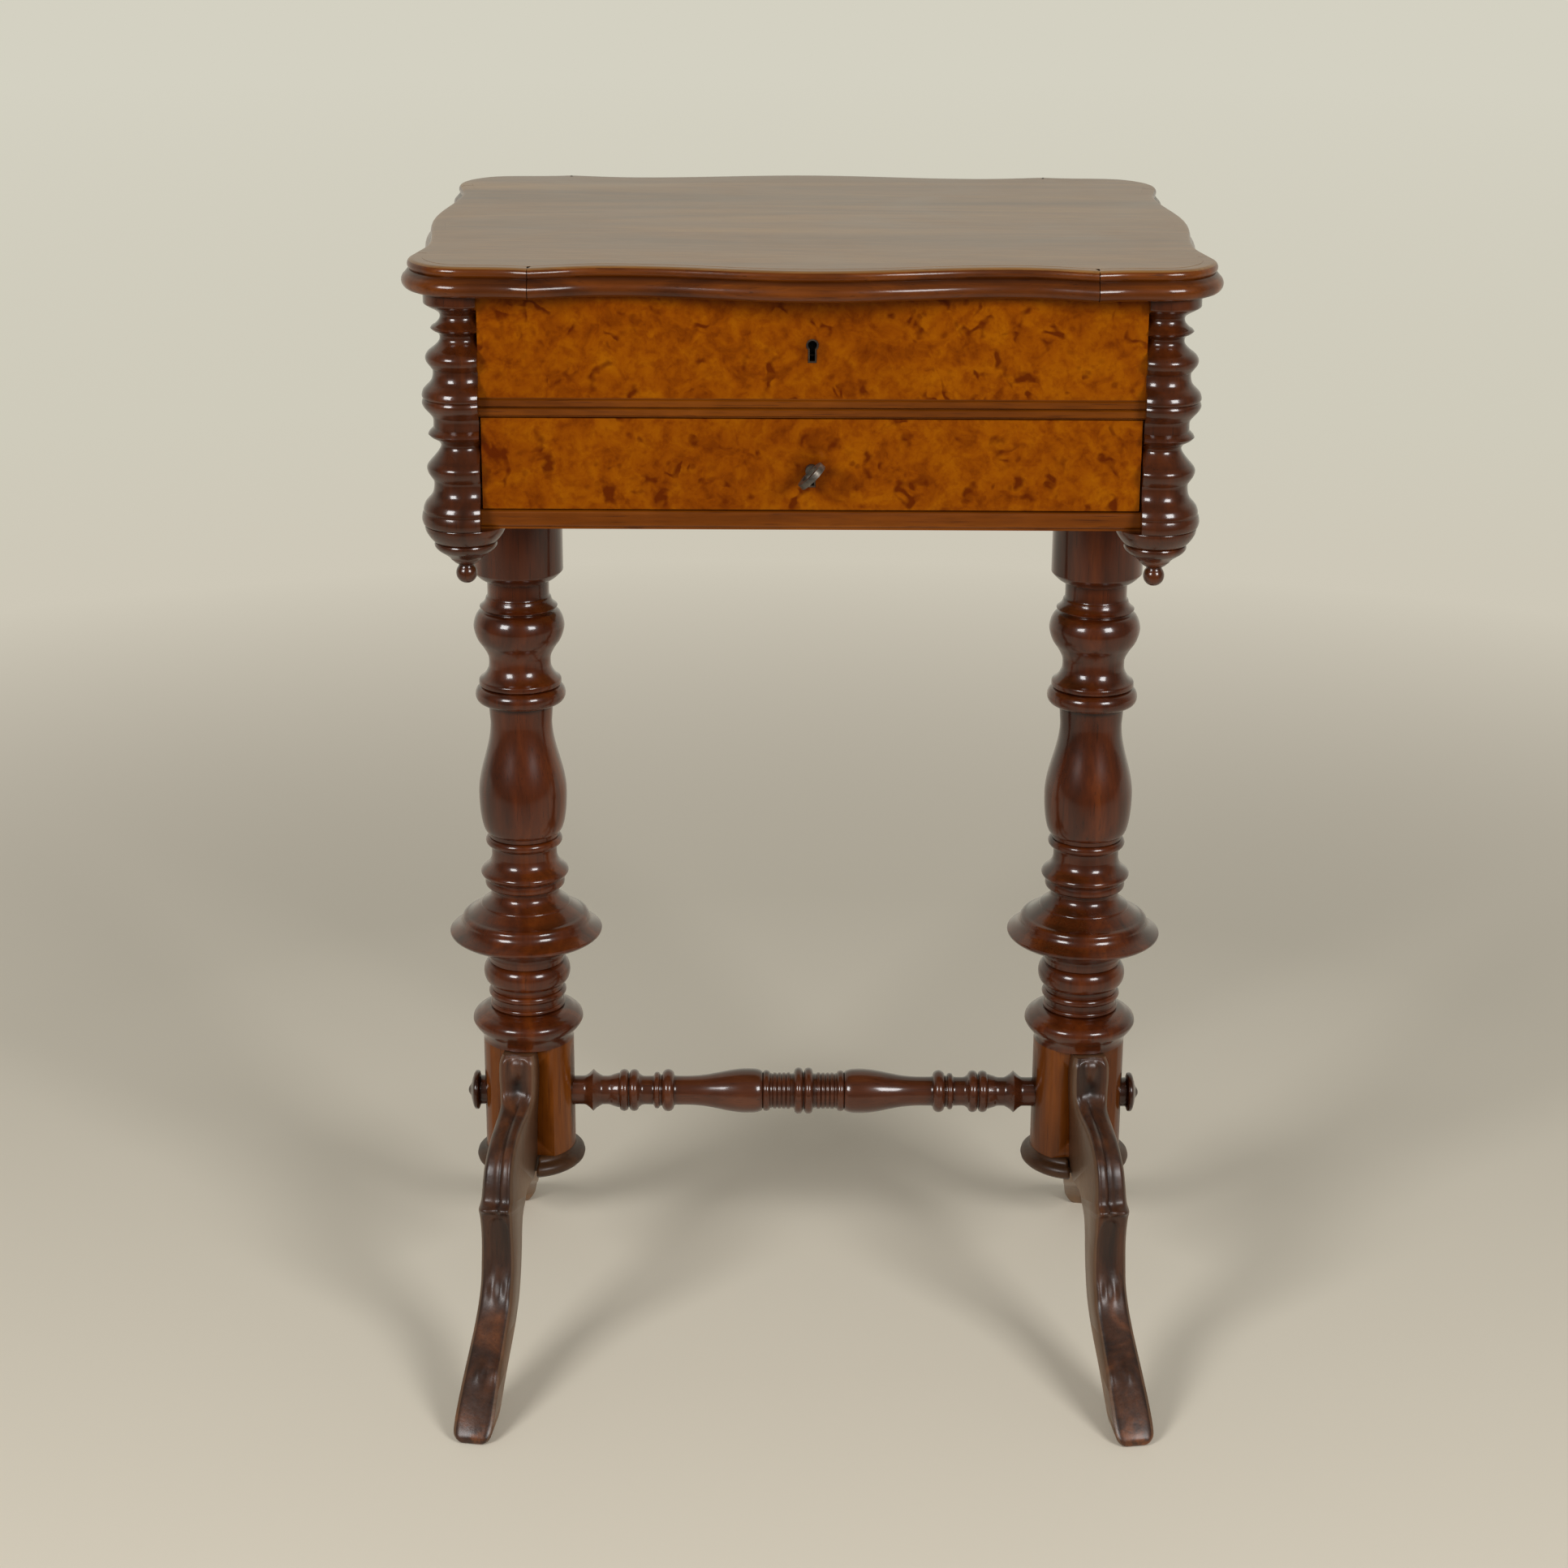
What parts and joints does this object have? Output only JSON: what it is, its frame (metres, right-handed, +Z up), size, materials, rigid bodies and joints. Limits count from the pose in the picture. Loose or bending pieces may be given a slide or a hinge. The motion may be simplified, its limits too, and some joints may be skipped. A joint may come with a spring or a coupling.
{
  "type": "work table",
  "caption": "Small wooden sewing table with a hinged serpentine lid over a divided well, a lockable drawer, turned pillars and splayed legs.",
  "frame": {"origin": "on the floor below the middle of the table, between the two pillars", "axes": "+Z up, the drawer front faces -Y, and +X runs to the right for someone facing the drawer"},
  "size_m": [0.462, 0.397, 0.74],
  "materials": {
    "red_brown_wood": "french polished, glossy",
    "dark_wood": "french polished, glossy",
    "burr_wood": "french polished burr veneer",
    "lid_veneer": "polished figured veneer",
    "drum_wood": "french polished, glossy",
    "plain_wood": "planed softwood, waxed",
    "brass": "aged brass",
    "steel": "worn grey steel"
  },
  "bodies": {
    "stand_and_case": {"mid_rail": "red_brown_wood", "bottom_rail": "red_brown_wood", "side_mouldings": "red_brown_wood", "pillar_left": "red_brown_wood", "pillar_right": "red_brown_wood", "stretcher": "red_brown_wood", "leg_front_left": "red_brown_wood", "leg_front_right": "red_brown_wood", "leg_back_left": "red_brown_wood", "leg_back_right": "red_brown_wood", "corner_column_front_left": "dark_wood", "corner_column_front_right": "dark_wood", "corner_column_back_left": "dark_wood", "corner_column_back_right": "dark_wood", "drum_base_left": "dark_wood", "drum_base_right": "dark_wood", "stretcher_buttons": "dark_wood", "front_panel": "burr_wood", "side_board_left": "burr_wood", "side_board_right": "burr_wood", "drum_left": "drum_wood", "drum_right": "drum_wood", "back_board": "plain_wood", "bottom_board": "plain_wood", "well_floor": "plain_wood", "front_posts": "plain_wood", "back_posts": "plain_wood", "well_dividers_cross": "plain_wood", "well_divider_long": "plain_wood", "drawer_guides": "plain_wood", "bearer_left": "plain_wood", "bearer_right": "plain_wood", "leg_dowels": "plain_wood", "case_hinge_leaves": "brass", "lid_lock_case": "brass", "hinge_pins": "steel", "lid_escutcheon": "steel", "bearer_screws": "steel"},
    "lid": {"lid_panel": "lid_veneer", "lid_edge_front": "red_brown_wood", "lid_edge_back": "red_brown_wood", "lid_edge_left": "red_brown_wood", "lid_edge_right": "red_brown_wood", "lid_corner_front_left": "red_brown_wood", "lid_corner_front_right": "red_brown_wood", "lid_corner_back_left": "red_brown_wood", "lid_corner_back_right": "red_brown_wood", "lid_hinge_leaves": "brass", "lid_link_plate": "brass", "lid_screws": "brass"},
    "drawer": {"drawer_front": "burr_wood", "drawer_side_left": "plain_wood", "drawer_side_right": "plain_wood", "drawer_back": "plain_wood", "drawer_bottom": "plain_wood", "drawer_lock_case": "brass", "drawer_escutcheon": "steel"},
    "key": {"drawer_key": "steel"},
    "drawer_bolt": {"drawer_lock_bolt": "steel"},
    "lid_bolt": {"lid_lock_bolt": "steel"}
  },
  "joints": [
    {"name": "lid_hinge", "type": "hinge", "parent": "stand_and_case", "child": "lid", "pos_m": [0, 0.1715, 0.72235], "axis": [-1, 0, 0], "range_deg": [0, 95]},
    {"name": "drawer_slide", "type": "slide", "parent": "stand_and_case", "child": "drawer", "axis": [0, -1, 0], "range_m": [0, 0.25]},
    {"name": "key_turn", "type": "hinge", "parent": "drawer", "child": "key", "pos_m": [0, -0.168, 0.6243], "axis": [0, 1, 0], "range_deg": [-45, 135]},
    {"name": "drawer_bolt_slide", "type": "slide", "parent": "drawer", "child": "drawer_bolt", "axis": [0, 0, 1], "range_m": [-0.002, 0.006]},
    {"name": "lid_bolt_slide", "type": "slide", "parent": "stand_and_case", "child": "lid_bolt", "axis": [1, 0, 0], "range_m": [0, 0.005]}
  ],
  "couplings": [
    {"joint": "drawer_bolt_slide", "follows": "key_turn", "m_per_rad": 0.0025464}
  ]
}
